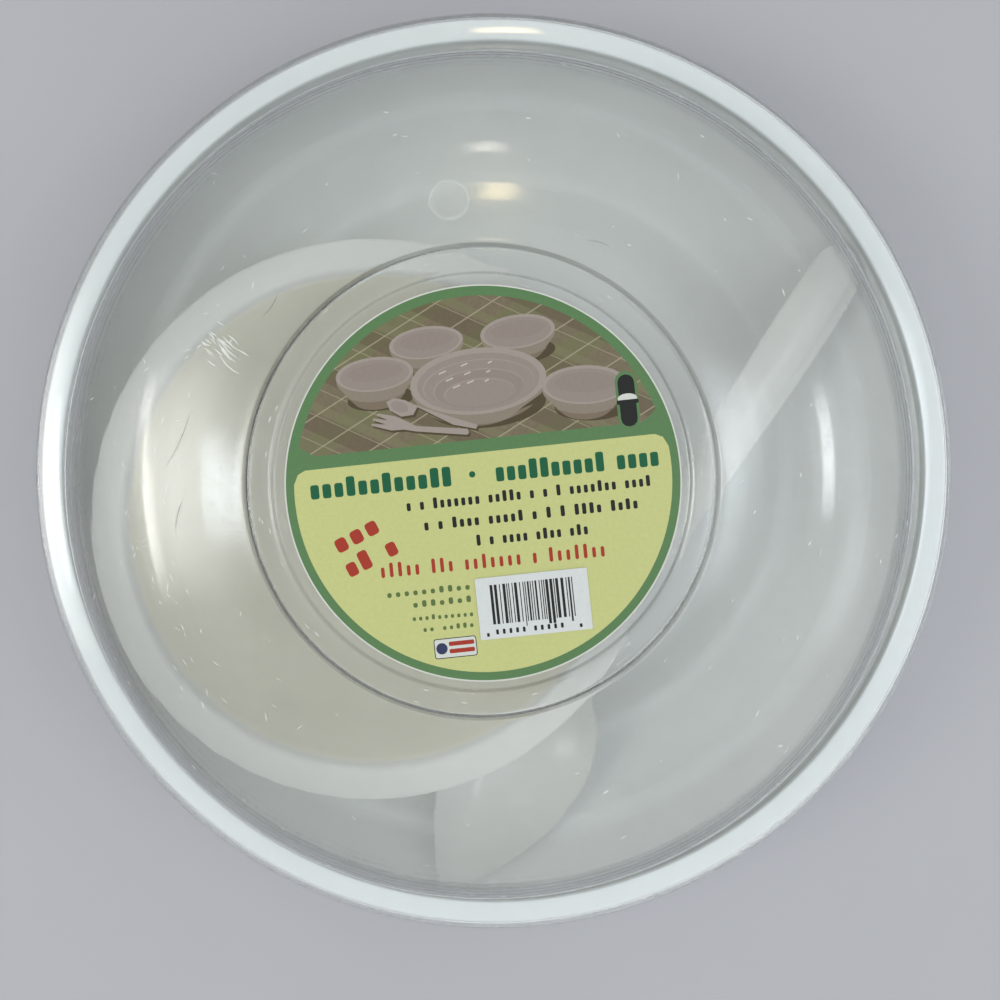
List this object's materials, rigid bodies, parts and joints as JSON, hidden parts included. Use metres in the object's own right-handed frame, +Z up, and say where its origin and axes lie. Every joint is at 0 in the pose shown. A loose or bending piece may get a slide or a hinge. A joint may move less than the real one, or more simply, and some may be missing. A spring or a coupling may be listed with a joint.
{
  "type": "picnic serving bowl set",
  "caption": "Shallow white serving bowl under a clear domed snap lid, holding nested small bowls, a serving spoon and a serving fork.",
  "frame": {"origin": "centre of the serving bowl's foot, on the surface it stands on", "axes": "+Z up along the serving bowl's axis, +X to the right of the label, +Y to the label's top"},
  "size_m": [0.308, 0.308, 0.0966],
  "materials": {
    "white_plastic": "moulded polypropylene, slightly translucent, satin gloss",
    "cream_plastic": "moulded polypropylene, slightly translucent, warm white, satin gloss",
    "clear_plastic": "clear moulded plastic, glossy, with fine scratches",
    "label_paper": "printed paper, satin",
    "sticker_paper": "printed paper, satin"
  },
  "bodies": {
    "base": {"serving_bowl": "white_plastic"},
    "fork": {"serving_fork": "white_plastic"},
    "spoon": {"serving_spoon": "white_plastic"},
    "bowl_1": {"small_bowl_1": "cream_plastic"},
    "bowl_2": {"small_bowl_2": "cream_plastic"},
    "bowl_3": {"small_bowl_3": "cream_plastic"},
    "bowl_4": {"small_bowl_4": "cream_plastic"},
    "lid": {"snap_lid": "clear_plastic", "label": "label_paper", "barcode_sticker": "sticker_paper"}
  },
  "joints": [
    {"name": "fork_lift", "type": "slide", "parent": "base", "child": "fork", "axis": [0, 0, 1], "range_m": [0, 0.06]},
    {"name": "spoon_lift", "type": "slide", "parent": "fork", "child": "spoon", "axis": [0, 0, 1], "range_m": [0, 0.06]},
    {"name": "bowl_1_lift", "type": "slide", "parent": "spoon", "child": "bowl_1", "axis": [0, 0, 1], "range_m": [0, 0.08]},
    {"name": "bowl_2_lift", "type": "slide", "parent": "bowl_1", "child": "bowl_2", "axis": [0, 0, 1], "range_m": [0, 0.08]},
    {"name": "bowl_3_lift", "type": "slide", "parent": "bowl_2", "child": "bowl_3", "axis": [0, 0, 1], "range_m": [0, 0.08]},
    {"name": "bowl_4_lift", "type": "slide", "parent": "bowl_3", "child": "bowl_4", "axis": [0, 0, 1], "range_m": [0, 0.08]},
    {"name": "lid_lift", "type": "slide", "parent": "bowl_4", "child": "lid", "axis": [0, 0, 1], "range_m": [0, 0.1]}
  ]
}
